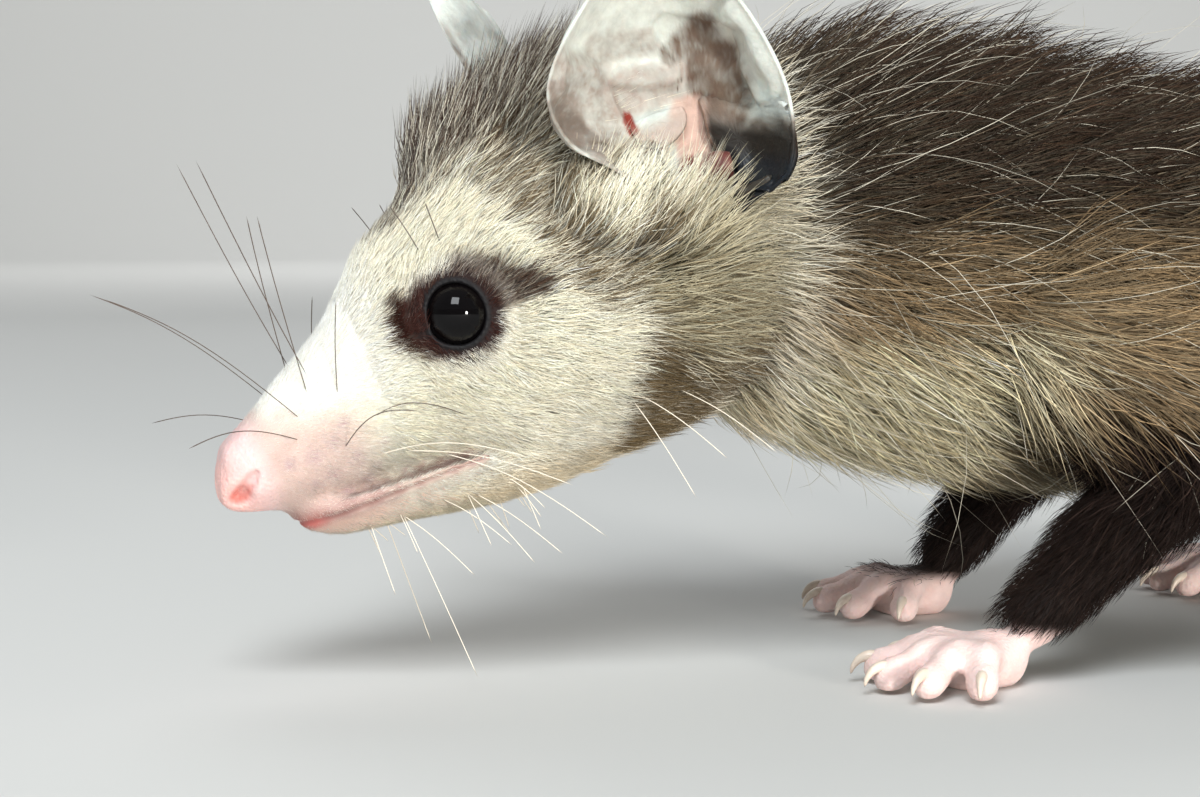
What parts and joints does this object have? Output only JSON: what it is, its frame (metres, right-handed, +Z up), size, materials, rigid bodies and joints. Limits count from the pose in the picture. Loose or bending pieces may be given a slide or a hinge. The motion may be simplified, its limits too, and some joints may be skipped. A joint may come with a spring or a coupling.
{
  "type": "opossum",
  "caption": "Life-size model of a young opossum standing on four feet, long snout level, round bare ears, shaggy coat and its bare tail laid along the floor",
  "frame": {"origin": "bottom centre of the model's bounding box, on the floor it stands on", "axes": "+Z up; +X runs from the nose to the end of the tail, so the animal faces -X; +Y is its right side"},
  "size_m": [0.3318, 0.0814, 0.0759],
  "materials": {
    "coat_dark": "long, dark brown-black fur over pale underfur, soft and matt, with scattered white guard hairs",
    "coat_pale": "short cream-white fur on the face with a brown crown and eye patch, matt",
    "skin_pink": "bare pink skin, finely wrinkled, slightly moist on the nose",
    "ear_skin": "thin bare skin, white along the upper rim, blue-black at the lower rear",
    "tail_skin": "bare scaly tail skin, dark near the body and pale to the tip",
    "eye": "black, wet and highly glossy"
  },
  "bodies": {
    "root": {"head": "coat_pale", "nose": "skin_pink", "jaw": "skin_pink", "ear_left": "ear_skin", "ear_right": "ear_skin", "eye_left": "eye", "eye_right": "eye", "neck": "coat_dark", "chest": "coat_dark", "belly": "coat_dark", "upper_arm_left": "coat_dark", "forearm_left": "coat_dark", "forefoot_left": "skin_pink", "upper_arm_right": "coat_dark", "forearm_right": "coat_dark", "forefoot_right": "skin_pink", "thigh_left": "coat_dark", "shin_left": "coat_dark", "hindfoot_left": "skin_pink", "thigh_right": "coat_dark", "shin_right": "coat_dark", "hindfoot_right": "skin_pink", "tail_1": "tail_skin", "tail_2": "tail_skin", "tail_3": "tail_skin", "tail_4": "tail_skin"}
  },
  "joints": []
}
